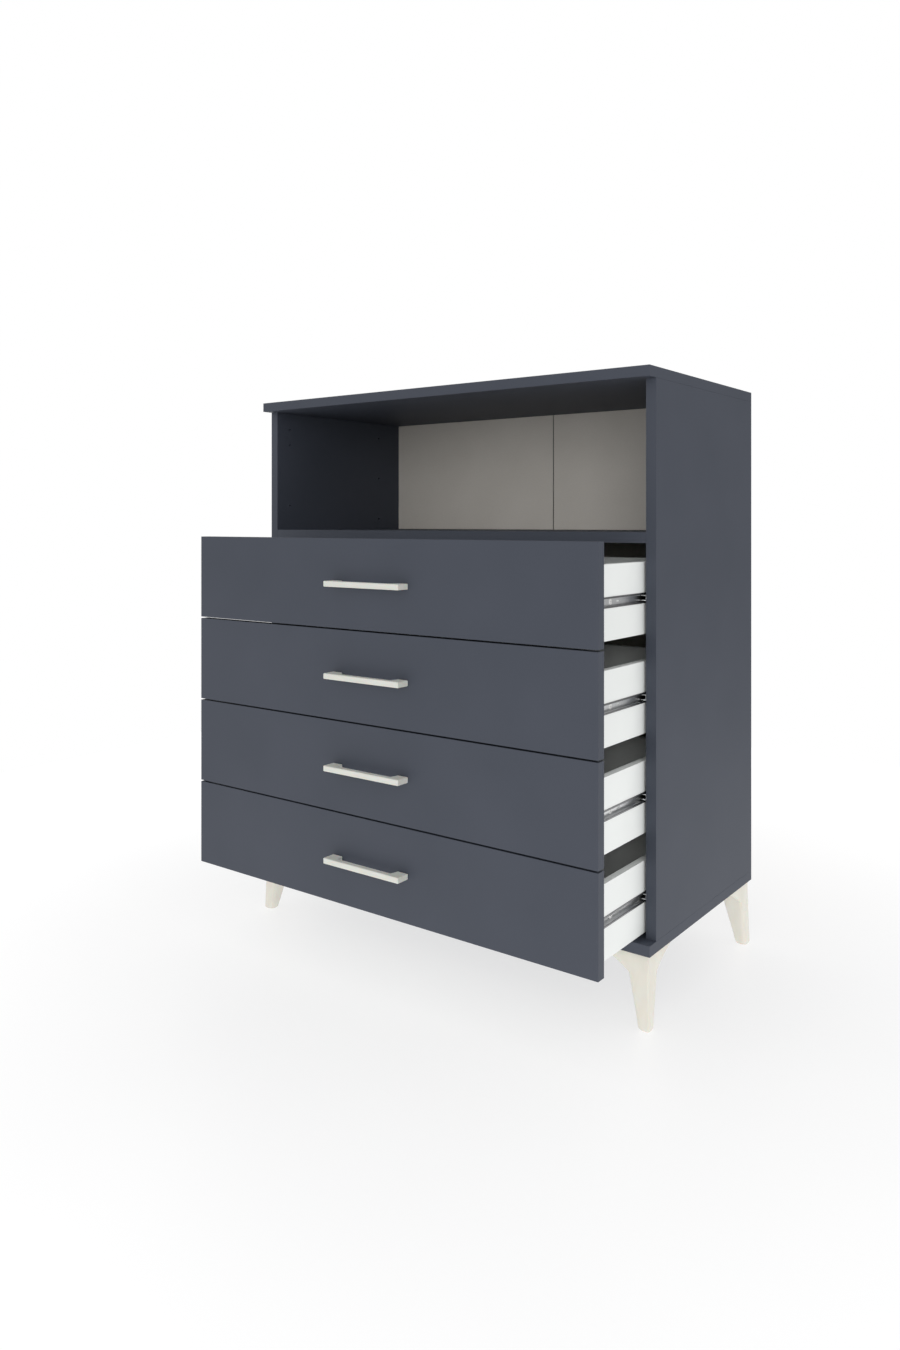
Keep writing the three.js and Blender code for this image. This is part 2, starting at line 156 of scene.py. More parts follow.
# %% [markdown]
# The soft box
#
# The walls alone leave the gaps between the drawers too dark. A photographer would point one more
# soft lamp at them, so a soft box hangs behind the camera, half a metre above it. A bare point lamp
# would reach as deep, but it would draw a hard shadow of each front on the drawer sides.

# %% Hang the soft box
box_place = Vector((1.81, -2.4, 1.35))
box_aim = Vector((0.3, -0.1, 0.5))
box_width = 0.8
box_power = 12

lamp = bpy.data.lights.new("soft_box", "AREA")
lamp.size = box_width
lamp.energy = box_power
soft_box = bpy.data.objects.new("soft_box", lamp)
soft_box.location = box_place
soft_box.rotation_euler = (box_aim - box_place).to_track_quat("-Z", "Y").to_euler()
bpy.context.scene.collection.objects.link(soft_box)
print("soft box", round((box_place - box_aim).length, 2), "m from what it lights")

# %% [markdown]
# The floor
#
# The floor is a pale matt sheet 4 m wide. A larger sheet would also be mirrored in the upper
# slides, which are dark in the picture. It is only a stage for the chest, so it is one flat face.

# %% Lay the floor
floor_half = 2

corners = [(-floor_half, -floor_half, 0), (floor_half, -floor_half, 0),
           (floor_half, floor_half, 0), (-floor_half, floor_half, 0)]
floor_mesh = bpy.data.meshes.new("floor")
floor_mesh.from_pydata(corners, [], [(0, 1, 2, 3)])
floor = bpy.data.objects.new("floor", floor_mesh)
bpy.context.scene.collection.objects.link(floor)
print("floor laid,", 2 * floor_half, "m wide")

# %% [markdown]
# A small paint shop
#
# Every finish below is a Principled shader, Blender's paint for nearly everything, with small
# patterns plugged into it. Building each one by hand in the editor would take an hour, so a few
# helpers do the steps that come back: start a finish, add a node, plug two sockets together.

# %% Make the helpers that start a finish
def new_finish(name, **settings):
    """A material with a Principled shader, whose sockets take the given values."""
    finish = bpy.data.materials.new(name)
    finish.use_nodes = True
    for socket, value in settings.items():
        shader_of(finish).inputs[socket.replace("_", " ")].default_value = value
    return finish


def shader_of(finish):
    """The Principled shader that a finish starts with."""
    return finish.node_tree.nodes["Principled BSDF"]


def node_in(finish, kind, **values):
    """A node of that kind, with values set on its own properties."""
    node = finish.node_tree.nodes.new(kind)
    for name, value in values.items():
        setattr(node, name, value)
    return node


def connect(finish, source, target):
    """A wire from an output to an input."""
    finish.node_tree.links.new(source, target)


floor_finish = new_finish("pale_floor", Roughness=0.5, Emission_Color=white)
print("a finish starts with", len(shader_of(floor_finish).inputs), "sockets to play with")

# %% [markdown]
# Patterns of a true size
#
# A real finish is never one flat colour, and the eye notices. The variation could be painted on
# images, but noise computed in the chest's own space needs no unwrapping and has a true size: a
# grain of 0.4 mm is 0.4 mm on every board. Noise stays near the middle of its range, so the two
# colours of a pattern are set a little inside its ends. The floor gets the first one: clouds
# nearly a metre wide.

# %% Draw a pattern and colour the floor
MM = 0.001
noise_spread = (0.3, 0.7)
floor_cloud_size = 900 * MM
floor_tones = [(0.265, 0.265, 0.268), (0.295, 0.295, 0.295)]


def grain(finish, size, detail, stretch=(1, 1, 1)):
    """Soft blotches about size metres across, drawn out along X, Y or Z by stretch."""
    place = node_in(finish, "ShaderNodeTexCoord")
    scaled = node_in(finish, "ShaderNodeMapping")
    scaled.inputs["Scale"].default_value = [1 / (size * factor) for factor in stretch]
    noise = node_in(finish, "ShaderNodeTexNoise")
    noise.inputs["Scale"].default_value = 1
    noise.inputs["Detail"].default_value = detail
    connect(finish, place.outputs["Object"], scaled.inputs["Vector"])
    connect(finish, scaled.outputs["Vector"], noise.inputs["Vector"])
    return noise.outputs[0]


def tones(finish, pattern, colours):
    """A pattern read as colours, from the darker one to the lighter one."""
    ramp = node_in(finish, "ShaderNodeValToRGB")
    for stop, place, colour in zip(ramp.color_ramp.elements, noise_spread, colours):
        stop.position = place
        stop.color = (*colour, 1)
    connect(finish, pattern, ramp.inputs["Fac"])
    return ramp.outputs["Color"]


def colour_with(finish, colour):
    """Plugs a colour into the shader."""
    connect(finish, colour, shader_of(finish).inputs["Base Color"])


floor_clouds = grain(floor_finish, floor_cloud_size, detail=2)
colour_with(floor_finish, tones(floor_finish, floor_clouds, floor_tones))
floor_mesh.materials.append(floor_finish)
print("floor painted with clouds", floor_cloud_size, "m wide")

# %% [markdown]
# The floor as a light table
#
# The sheet is lit from below like a photographer's light table. That lights the legs, makes the
# boards lighter towards the floor and leaves only a soft shadow under the chest. The table shines
# more on the chest than into the camera, or the picture would burn out. What the camera sees of it
# grows towards the rim, so that the sheet runs into the white room unnoticed. A real lamp under
# a glass sheet would do the same, but it would take far longer to render without noise.

# %% Let the floor glow
glow_on_chest = 0.92
fade_start = 0.4
fade_end = 1.9
glow_in_middle = 0.67
glow_at_rim = 0.84

from_middle = node_in(floor_finish, "ShaderNodeVectorMath", operation="LENGTH")
fade = node_in(floor_finish, "ShaderNodeMapRange")
fade.inputs["From Min"].default_value = fade_start
fade.inputs["From Max"].default_value = fade_end
fade.inputs["To Min"].default_value = glow_in_middle
fade.inputs["To Max"].default_value = glow_at_rim
table_glow = node_in(floor_finish, "ShaderNodeMix", data_type="FLOAT")
table_glow.inputs["A"].default_value = glow_on_chest
floor_place = node_in(floor_finish, "ShaderNodeTexCoord").outputs["Object"]
by_camera = node_in(floor_finish, "ShaderNodeLightPath").outputs["Is Camera Ray"]
connect(floor_finish, floor_place, from_middle.inputs[0])
connect(floor_finish, from_middle.outputs["Value"], fade.inputs["Value"])
connect(floor_finish, fade.outputs["Result"], table_glow.inputs["B"])
connect(floor_finish, by_camera, table_glow.inputs["Factor"])
connect(floor_finish, table_glow.outputs["Result"], shader_of(floor_finish).inputs["Emission Strength"])
print("the table glows by", glow_on_chest, "on the chest and up to", glow_at_rim, "in the picture")

# %% [markdown]
# Gloss and relief
#
# Colour is only a third of a finish. The same patterns can also set how rough the surface is and
# how far it stands out. A bump node is enough for relief here, because the deepest grain is a few
# hundredths of a millimetre, far too small to be worth moving real points for.

# %% Make the helpers for gloss and relief
def together(finish, first, second, share):
    """Two patterns in one: share is how much of the second there is."""
    mix = node_in(finish, "ShaderNodeMix", data_type="FLOAT")
    mix.inputs["Factor"].default_value = share
    connect(finish, first, mix.inputs["A"])
    connect(finish, second, mix.inputs["B"])
    return mix.outputs["Result"]


def dull_with(finish, pattern, roughness):
    """A pattern read as roughness, from the first value to the second."""
    span = node_in(finish, "ShaderNodeMapRange")
    span.inputs["To Min"].default_value = roughness[0]
    span.inputs["To Max"].default_value = roughness[1]
    connect(finish, pattern, span.inputs["Value"])
    connect(finish, span.outputs["Result"], shader_of(finish).inputs["Roughness"])


def relief(finish, pattern, depth):
    """A pattern raised by depth metres."""
    bump = node_in(finish, "ShaderNodeBump")
    bump.inputs["Distance"].default_value = depth
    connect(finish, pattern, bump.inputs["Height"])
    connect(finish, bump.outputs["Normal"], shader_of(finish).inputs["Normal"])


print("patterns can now set the colour, the gloss and the relief")

# %% [markdown]
# Anthracite melamine
#
# The outer boards are chipboard under a printed paper soaked in resin. The print is a fine blue
# grey stipple, and the hot press leaves a faint pearl texture that breaks up the gloss. A plain
# grey shader would look like painted sheet metal, so there are three layers: wide clouds that are
# barely visible, a stipple of 0.6 mm, and a pearl relief of a few hundredths of a millimetre.

# %% Mix the anthracite board
anthracite_tones = [(0.0370, 0.0447, 0.0632), (0.0462, 0.0538, 0.0749)]
anthracite_cloud_size = 160 * MM
print_size = 0.6 * MM
print_share = 0.45
pearl_size = 0.9 * MM
pearl_height = 0.03 * MM
pearl_roughness = (0.56, 0.70)

anthracite = new_finish("anthracite_melamine")
clouds = grain(anthracite, anthracite_cloud_size, detail=2)
stipple = grain(anthracite, print_size, detail=4)
print_pattern = together(anthracite, clouds, stipple, print_share)
colour_with(anthracite, tones(anthracite, print_pattern, anthracite_tones))
pearl = grain(anthracite, pearl_size, detail=2)
dull_with(anthracite, pearl, pearl_roughness)
relief(anthracite, pearl, pearl_height)
print("anthracite board mixed from", len(anthracite.node_tree.nodes), "nodes")

# %% [markdown]
# Two sides of one board
#
# A hardboard panel has one good side and one that nobody sees. Two materials would need the faces
# of each panel sorted into two slots. One finish can do both: it asks which way the surface looks
# and picks the one colour or the other.

# %% Make the helpers that tell the sides apart
towards_within = math.radians(60)


def faces_towards(finish, axis, sign):
    """1 on faces that look along the axis, 0 on the others."""
    place = node_in(finish, "ShaderNodeTexCoord")
    split = node_in(finish, "ShaderNodeSeparateXYZ")
    test = node_in(finish, "ShaderNodeMath", operation="MULTIPLY")
    test.inputs[1].default_value = sign
    mark = node_in(finish, "ShaderNodeMath", operation="GREATER_THAN")
    mark.inputs[1].default_value = math.cos(towards_within)
    connect(finish, place.outputs["Normal"], split.inputs["Vector"])
    connect(finish, split.outputs[axis], test.inputs[0])
    connect(finish, test.outputs["Value"], mark.inputs[0])
    return mark.outputs["Value"]


def either(finish, choice, first, second):
    """The first colour where choice is 0, the second where it is 1."""
    mix = node_in(finish, "ShaderNodeMix", data_type="RGBA")
    connect(finish, choice, mix.inputs["Factor"])
    connect(finish, first, mix.inputs["A"])
    connect(finish, second, mix.inputs["B"])
    return mix.outputs["Result"]


print("a face may look", round(math.degrees(towards_within)), "degrees past an axis and still count")

# %% [markdown]
# Hardboard back and drawer bottoms
#
# The back panels are 3 mm hardboard. Their front has a thin warm grey lacquer over short wood
# fibres, and their rear is raw and brown, because nobody sees it against a wall. The drawer
# bottoms are the same board with white lacquer above and a thin grey coat below. Both come from
# one recipe, a function with two results, so that the fibres are the same in both.

# %% Mix the hardboard finishes
grey_lacquer_tones = [(0.725, 0.685, 0.621), (0.793, 0.752, 0.689)]
raw_fibre_tones = [(0.165, 0.103, 0.060), (0.310, 0.202, 0.124)]
white_lacquer_tones = [(0.79, 0.80, 0.78), (0.84, 0.85, 0.83)]
thin_coat_tones = [(0.58, 0.59, 0.57), (0.70, 0.71, 0.69)]
fibre_size = 1.6 * MM
fibre_stretch = (3, 1, 1)
fibre_height = 0.04 * MM
haze_size = 120 * MM
fibre_share_under_lacquer = 0.4
fibre_share_when_raw = 0.75
hardboard_roughness = (0.52, 0.85)


def hardboard(name, lacquer_tones, raw_tones, raw_axis, raw_sign):
    """Lacquer all round, raw fibres on the faces that look along the raw axis."""
    finish = new_finish(name)
    fibres = grain(finish, fibre_size, detail=6, stretch=fibre_stretch)
    haze = grain(finish, haze_size, detail=2)
    lacquer = tones(finish, together(finish, haze, fibres, fibre_share_under_lacquer), lacquer_tones)
    raw = tones(finish, together(finish, haze, fibres, fibre_share_when_raw), raw_tones)
    is_raw = faces_towards(finish, raw_axis, raw_sign)
    colour_with(finish, either(finish, is_raw, lacquer, raw))
    dull_with(finish, is_raw, hardboard_roughness)
    relief(finish, fibres, fibre_height)
    return finish


back_finish = hardboard("grey_lacquered_hardboard", grey_lacquer_tones, raw_fibre_tones, "Y", 1)
bottom_finish = hardboard("white_lacquered_hardboard", white_lacquer_tones, thin_coat_tones, "Z", -1)
print("hardboard mixed:", back_finish.name, "and", bottom_finish.name)

# %% [markdown]
# White box board
#
# The sides and backs of the drawers are 12 mm chipboard with white melamine. It is a cool white
# with a finer texture than the outer boards and a little more gloss. Its cut edges have a banding
# of the same white, so one finish is enough for faces and edges.

# %% Mix the white box board
box_tones = [(0.793, 0.813, 0.798), (0.842, 0.862, 0.847)]
box_cloud_size = 90 * MM
box_grain_size = 0.5 * MM
box_grain_share = 0.4
box_grain_height = 0.02 * MM
box_roughness = (0.38, 0.48)

box_white = new_finish("white_melamine")
box_clouds = grain(box_white, box_cloud_size, detail=2)
box_grain = grain(box_white, box_grain_size, detail=3)
box_pattern = together(box_white, box_clouds, box_grain, box_grain_share)
colour_with(box_white, tones(box_white, box_pattern, box_tones))
dull_with(box_white, box_grain, box_roughness)
relief(box_white, box_grain, box_grain_height)
print("white box board mixed from", len(box_white.node_tree.nodes), "nodes")

# %% [markdown]
# Cream plastic
#
# Handles and legs are injection moulded. Light goes a little way into such plastic before it comes
# out again, so thin edges look soft. Subsurface scattering of 2 mm gives that. The mould is eroded
# with sparks, which leaves a satin skin with a very fine grain, and flow marks run along the
# piece, just strong enough to be felt in the sheen. The handles get the same cream painted a little
# darker and less yellow, as painted shade, so the recipe is a function with two results.

# %% Mix the cream plastic
leg_tones = [(0.686, 0.662, 0.582), (0.746, 0.721, 0.647)]
# the handles' cream: the legs' cream painted darker and less yellow, as painted shade
shaded_handle_tones = [(0.631, 0.634, 0.578), (0.686, 0.691, 0.642)]
scatter_weight = 0.15
scatter_depth = 2 * MM
flow_size = 14 * MM
flow_up = (1, 1, 3)
flow_across = (3, 1, 1)
spark_size = 0.35 * MM
spark_share = 0.35
spark_height = 0.015 * MM
plastic_roughness = (0.36, 0.46)


def cream_plastic(name, creams, flow_stretch):
    """Satin plastic between two creams, with flow marks drawn out along an axis."""
    finish = new_finish(name, Subsurface_Weight=scatter_weight, Subsurface_Scale=scatter_depth)
    flow = grain(finish, flow_size, detail=2, stretch=flow_stretch)
    sparks = grain(finish, spark_size, detail=3)
    colour_with(finish, tones(finish, together(finish, flow, sparks, spark_share), creams))
    dull_with(finish, flow, plastic_roughness)
    relief(finish, sparks, spark_height)
    return finish


leg_cream = cream_plastic("cream_plastic_of_legs", leg_tones, flow_up)
shaded_handle_cream = cream_plastic("shaded_cream_plastic_of_handles", shaded_handle_tones, flow_across)
print("cream plastic mixed:", leg_cream.name, "and", shaded_handle_cream.name)

# %% [markdown]
# Places on a rail
#
# A slide doesn't look the same from end to end. Its rear is painted dark, partly for grease where
# the balls run and partly as painted shade in the slide's narrow mouth. The strip is plated before
# it is slit, so its long edges are bare steel, painted darker still as shade on the lip faces. Both
# could be done by cutting the rail into pieces. It is simpler to ask each point how deep in the
# chest it lies and how far from the middle, and to pick the colour by that.

# %% Make the helpers that find a place
def along_y(finish, start, end):
    """A ramp along the chest's depth: 0 in front of start, 1 behind end."""
    place = node_in(finish, "ShaderNodeTexCoord")
    split = node_in(finish, "ShaderNodeSeparateXYZ")
    ramp = node_in(finish, "ShaderNodeMapRange")
    ramp.inputs["From Min"].default_value = start
    ramp.inputs["From Max"].default_value = end
    connect(finish, place.outputs["Object"], split.inputs["Vector"])
    connect(finish, split.outputs["Y"], ramp.inputs["Value"])
    return ramp.outputs["Result"]


def beyond_x(finish, reach):
    """1 where the surface is further than reach to either side of the middle, 0 elsewhere."""
    place = node_in(finish, "ShaderNodeTexCoord")
    split = node_in(finish, "ShaderNodeSeparateXYZ")
    size = node_in(finish, "ShaderNodeMath", operation="ABSOLUTE")
    test = node_in(finish, "ShaderNodeMath", operation="GREATER_THAN")
    test.inputs[1].default_value = reach
    connect(finish, place.outputs["Object"], split.inputs["Vector"])
    connect(finish, split.outputs["X"], size.inputs[0])
    connect(finish, size.outputs["Value"], test.inputs[0])
    return test.outputs["Value"]


slide_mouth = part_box("cabinet_rail_1_right")[0].y
slit_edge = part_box("drawer_1_rail_right")[1].x
print("the slides' mouths lie at y", round(slide_mouth, 4), "and the slit edges at x", round(slit_edge, 4))

# %% [markdown]
# Zinc plated slides
#
# The slides are rolled from zinc plated strip: the rolls leave long fine lines along the rail, and
# the zinc has cloudy patches. The same noise does both once it is stretched along the rail. The
# zinc is bright enough to mirror the pale floor and the dark boards, so it is fairly smooth. Towards
# the rear the steel is painted dark: partly grease where the balls run, partly painted shade in the
# narrow mouth of the slide. Two distances behind the slide's mouth say where this darkening starts
# and where it is full, and one below zero lies in front of the mouth. The slit edges are painted
# darker than the plating, partly bare steel and partly painted shade on the lip faces. The
# cabinet's narrow rail hides its slit edges, so on that rail they are set at the chest's side,
# where it has no surface.

# %% Mix the zinc of the rails
bare_tones = [(0.66, 0.67, 0.675), (0.78, 0.79, 0.795)]
# grease and painted shade: the rail's rear is darkened for grease and for the shade in the slide's mouth
grease_and_shade_tones = [(0.12, 0.12, 0.12), (0.20, 0.20, 0.198)]
# bare slit edges, painted darker as shade on the lip faces
slit_and_shade_tones = [(0.17, 0.17, 0.175), (0.25, 0.25, 0.255)]
roll_line_size = 0.5 * MM
roll_line_stretch = (1, 120, 1)
roll_line_share = 0.5
roll_line_height = 0.01 * MM
zinc_cloud_size = 6 * MM
zinc_roughness = (0.25, 0.36)
slit_depth = 1.3 * MM
# where the grease and painted shade start and where they are full, behind each slide's mouth
grease_and_shade_on_drawer_rail = (-14.4 * MM, 9.6 * MM)
grease_and_shade_on_cabinet_rail = (7.6 * MM, 21.6 * MM)


def zinc_with_grease_and_shade(name, grease_and_shade, bare_steel_and_shade_from):
    """Zinc plated strip whose rear is painted dark for grease and shade, and whose bare slit edges are
    painted darker as shade.
    """
    finish = new_finish(name, Metallic=1.0)
    roll_lines = grain(finish, roll_line_size, detail=3, stretch=roll_line_stretch)
    zinc_clouds = grain(finish, zinc_cloud_size, detail=3)
    pattern = together(finish, zinc_clouds, roll_lines, roll_line_share)
    bare = tones(finish, pattern, bare_tones)
    grease_and_shade_colour = tones(finish, pattern, grease_and_shade_tones)
    slit_and_shade_colour = tones(finish, pattern, slit_and_shade_tones)
    # painted shade and grease: darker from the first distance behind the mouth to the second
    grease_and_shade_mask = along_y(finish, slide_mouth + grease_and_shade[0], slide_mouth + grease_and_shade[1])
    plated = either(finish, grease_and_shade_mask, bare, grease_and_shade_colour)
    # the slit edges are bare steel, painted darker as shade on the lip faces
    colour_with(finish, either(finish, beyond_x(finish, bare_steel_and_shade_from), plated, slit_and_shade_colour))
    dull_with(finish, roll_lines, zinc_roughness)
    relief(finish, roll_lines, roll_line_height)
    return finish


drawer_zinc = zinc_with_grease_and_shade("zinc_of_drawer_rails", grease_and_shade_on_drawer_rail, slit_edge - slit_depth)
cabinet_zinc = zinc_with_grease_and_shade("zinc_of_cabinet_rails", grease_and_shade_on_cabinet_rail, cad_high.x)
print("zinc mixed:", drawer_zinc.name, "and", cabinet_zinc.name)

# %% [markdown]
# Screws, balls and black plastic
#
# Three small finishes are left. The screws are nickel plated and satin, with marks from handling.
# The bearing balls are polished steel under a film of oil. The cages that hold the balls and the
# strip between the back panels are black plastic with the grain of their mould. Each has only one
# pattern, because nobody sees more of them than a glint.

# %% Mix the three small finishes
nickel_tones = [(0.92, 0.92, 0.91), (0.97, 0.97, 0.96)]
nickel_roughness = (0.55, 0.70)
handling_mark_size = 1.5 * MM
ball_tones = [(0.60, 0.60, 0.61), (0.72, 0.72, 0.73)]
ball_roughness = (0.06, 0.16)
oil_film_size = 0.8 * MM
black_tones = [(0.010, 0.010, 0.011), (0.020, 0.020, 0.022)]
black_roughness = (0.42, 0.58)
mould_grain_size = 0.7 * MM
mould_grain_height = 0.02 * MM

nickel = new_finish("nickel_plated_screws", Metallic=1.0)
handling_marks = grain(nickel, handling_mark_size, detail=4)
colour_with(nickel, tones(nickel, handling_marks, nickel_tones))
dull_with(nickel, handling_marks, nickel_roughness)

ball_steel = new_finish("polished_ball_steel", Metallic=1.0)
oil_film = grain(ball_steel, oil_film_size, detail=2)
colour_with(ball_steel, tones(ball_steel, oil_film, ball_tones))
dull_with(ball_steel, oil_film, ball_roughness)

black_plastic = new_finish("black_plastic")
mould_grain = grain(black_plastic, mould_grain_size, detail=3)
colour_with(black_plastic, tones(black_plastic, mould_grain, black_tones))
dull_with(black_plastic, mould_grain, black_roughness)
relief(black_plastic, mould_grain, mould_grain_height)
print("mixed:", nickel.name, ball_steel.name, black_plastic.name)

# %% [markdown]
# Finishes on the solids
#
# The record that came with the solids names a slot for each of them: board, back, zinc and so on.
# A finish could be handed out solid by solid, but with sixty of them the slots are surer. Only
# three kinds of solids need another finish than their slot's: the drawer bottoms, the rails on the
# cabinet's side and the handles.

# %% Give every solid its finish
finish_of_slot = {"board": anthracite, "back": back_finish, "strip": black_plastic, "cream": leg_cream,
                  "box": box_white, "zinc": drawer_zinc, "cage": black_plastic}


def finish_for(name, slot):
    """The finish of the solid with that name."""
    if name.endswith("_bottom"):
        return bottom_finish
    if name.startswith("cabinet_rail"):
        return cabinet_zinc
    if name.endswith("_handle"):
        return shaded_handle_cream
    return finish_of_slot[slot]


slot_of = {entry["node"]: entry["material_slot"] for entry in frame["record"]["subparts"]}
for name, slot in slot_of.items():
    nodes[name].data.materials[0] = finish_for(name, slot)
print("dressed", len(slot_of), "solids with", len(finish_of_slot), "slots")

# %% [markdown]
# Softened edges
#
# No real board has a knife edge: the banding is eased when it is trimmed, and that thin curve
# catches the light and draws the outline of every front. The solids come in with each triangle on
# its own, so they are welded first, then a bevel rounds the corners that are sharper than a
# given angle, and weighted normals keep the broad faces flat. All three are modifiers, which leave
# the solid's own mesh as it is. The radius is largest on the moulded legs and handles and small on
# sheet steel. The boards of the carcass get the smallest one, because they are pressed edge to
# face, and a wider curve on both sides of a joint would show it as a dark line.

# %% Round the edges
edge_of_slot = {"board": 0.15 * MM, "back": 0.15 * MM, "strip": 0.2 * MM, "cream": 0.8 * MM,
                "box": 0.3 * MM, "zinc": 0.12 * MM, "cage": 0.1 * MM}
edge_of_carcass_board = 0.05 * MM
edge_steps = 2
weld_reach = 0.01 * MM
sharp_from = math.radians(40)


def edge_for(name, slot):
    """The edge radius of the solid with that name."""
    if slot == "board" and not name.startswith("drawer"):
        return edge_of_carcass_board
    return edge_of_slot[slot]


def soften(solid, radius):
    """Rounds the sharp edges of a solid by radius."""
    weld = solid.modifiers.new("weld", "WELD")
    weld.merge_threshold = weld_reach
    rounding = solid.modifiers.new("rounding", "BEVEL")
    rounding.width = radius
    rounding.segments = edge_steps
    rounding.limit_method = "ANGLE"
    rounding.angle_limit = sharp_from
    shading = solid.modifiers.new("shading", "WEIGHTED_NORMAL")
    shading.keep_sharp = False


for name, slot in slot_of.items():
    soften(nodes[name], edge_for(name, slot))
widest_edge = max(edge_of_slot.values())
print("edges rounded by", round(edge_of_carcass_board / MM, 2), "to", round(widest_edge / MM, 2), "mm")

# %% [markdown]
# A turned screw head
#
# A screw head is a low dome, and a dome is a turned shape: a profile is spun round an axis, just as
# on a lathe. A squashed sphere would be quicker to make, but it has no rim and no shank. The
# points of a profile are its radius and its height, from the top down.

# %% Make the lathe
round_steps = 24


def turned(profile):
    """A closed round solid from (radius, height) points, spun round Z."""
    shape = bmesh.new()
    points = [shape.verts.new((radius, 0, height)) for radius, height in profile]
    edges = [shape.edges.new(pair) for pair in zip(points, points[1:])]
    bmesh.ops.spin(shape, geom=points + edges, axis=(0, 0, 1), cent=(0, 0, 0),
                   steps=round_steps, angle=math.tau, use_merge=True)
    bmesh.ops.remove_doubles(shape, verts=shape.verts, dist=weld_reach)
    bmesh.ops.recalc_face_normals(shape, faces=shape.faces)
    mesh = bpy.data.meshes.new("turned")
    shape.to_mesh(mesh)
    shape.free()
    return mesh


print("the lathe turns in", round_steps, "steps")

# %% [markdown]
# The cross recess
#
# The screwdriver's cross could be painted, but it would vanish in a close view. So two small bars
# are laid across each other and cut out of the dome with a boolean, as a punch does it in the real
# head. The bars are thrown away afterwards.

# %% Make the punch
def bar(length, width, low, high):
    """A bar along X, from the height low to the height high."""
    shape = bmesh.new()
    bmesh.ops.create_cube(shape, size=1)
    bmesh.ops.scale(shape, vec=(length, width, high - low), verts=shape.verts)
    bmesh.ops.translate(shape, vec=(0, 0, (low + high) / 2), verts=shape.verts)
    mesh = bpy.data.meshes.new("bar")
    shape.to_mesh(mesh)
    shape.free()
    return mesh


def with_cross(blank, span, width, floor_height, top):
    """The blank with a cross recess of that span, down to floor_height."""
    scene = bpy.context.scene
    body = bpy.data.objects.new("blank", blank)
    scene.collection.objects.link(body)
    cutters = []
    for turn in (0, quarter_turn):
        cutter = bpy.data.objects.new("cutter", bar(span, width, floor_height, top))
        cutter.rotation_euler.z = turn
        scene.collection.objects.link(cutter)
        cutting = body.modifiers.new("cut", "BOOLEAN")
        cutting.operation = "DIFFERENCE"
        cutting.solver = "EXACT"
        cutting.object = cutter
        cutters.append(cutter)
    finished = body.evaluated_get(bpy.context.evaluated_depsgraph_get())
    mesh = bpy.data.meshes.new_from_object(finished)
    for used in (body, *cutters):
        bpy.data.objects.remove(used)
    return mesh


print("punch ready, with two bars a quarter turn apart")

# %% [markdown]
# Three kinds of heads
#
# The rails need nearly flat heads, a wide one for the drawer's rail and a narrow one for the
# cabinet's. Both come from one profile, whose radii are shares of the head's own radius. They end
# in a short piece of shank, so that the rail's hole looks filled. The handles and the legs are
# held by pan heads, which are higher and rounder.

# %% Turn the three heads
shank_radius = 2.0 * MM
shank_depth = 2.6 * MM
wide_radius = 5.0 * MM
narrow_radius = 3.3 * MM
crown_radius_shares = (0, 0.67, 0.92, 1, 1)
crown_heights = (0.26 * MM, 0.24 * MM, 0.16 * MM, 0.02 * MM, -0.02 * MM)
shank_outline = [(shank_radius, -0.05 * MM), (shank_radius, -shank_depth), (0, -shank_depth)]
flat_cross_span_share = 0.8
flat_cross_width_share = 0.16
flat_cross_depth = 1.8 * MM
flat_cross_top = 1 * MM
pan_outline = [(0, 2.3 * MM), (1.6 * MM, 2.2 * MM), (3.0 * MM, 1.7 * MM), (3.8 * MM, 0.8 * MM),
               (4.0 * MM, 0), (0, 0)]
pan_cross_span = 4.4 * MM
pan_cross_width = 0.9 * MM
pan_cross_floor = 0.6 * MM
pan_cross_top = 3 * MM


def flat_head(radius):
    """A nearly flat head of that radius on a short shank."""
    crown = [(share * radius, height) for share, height in zip(crown_radius_shares, crown_heights)]
    return with_cross(turned(crown + shank_outline), flat_cross_span_share * radius,
                      flat_cross_width_share * radius, -flat_cross_depth, flat_cross_top)


wide_head = flat_head(wide_radius)
narrow_head = flat_head(narrow_radius)
pan_head = with_cross(turned(pan_outline), pan_cross_span, pan_cross_width, pan_cross_floor, pan_cross_top)
print("screw heads have", [len(head.polygons) for head in (wide_head, narrow_head, pan_head)], "faces")

# %% [markdown]
# Copies that ride along
#
# One head of each kind is enough: it is copied to its places. All copies on one moving part are
# joined into one piece, because they never move against each other, and the piece rides on that
# part. A place is a point and the direction in which the head looks.

# %% Make the helpers that place copies
def facing(place, direction):
    """A place whose Z looks along the direction."""
    turn = Vector(direction).to_track_quat("Z", "Y").to_matrix().to_4x4()
    return Matrix.Translation(place) @ turn


def copies(name, master, places, finish, body):
    """One piece from a copy of the master at each place, riding on a body."""
    shape = bmesh.new()
    for place in places:
        before = len(shape.verts)
        shape.from_mesh(master)
        shape.verts.ensure_lookup_table()
        bmesh.ops.transform(shape, matrix=place, verts=shape.verts[before:])
    mesh = bpy.data.meshes.new(name)
    shape.to_mesh(mesh)
    shape.free()
    mesh.materials.append(finish)
    piece = bpy.data.objects.new(name, mesh)
    bpy.context.scene.collection.objects.link(piece)
    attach(piece, body)
    print(name, "is", len(places), "copies and rides on", body)


# %% [markdown]
# Screws in the rails
#
# Each rail is held by two screws, 71 mm from its ends. On the drawer's rail they have to be almost
# flat, because the ball cage runs a third of a millimetre above the rail's web. On the cabinet's
# narrow rail they have to be smaller, or they'd bite into its flanges. Typed places would go wrong
# as soon as a slide changes, so each one is worked out from the box of the rail that it holds.

# %% Screw on the rails
from_rail_end = 71 * MM
rail_sheet = 1.2 * MM

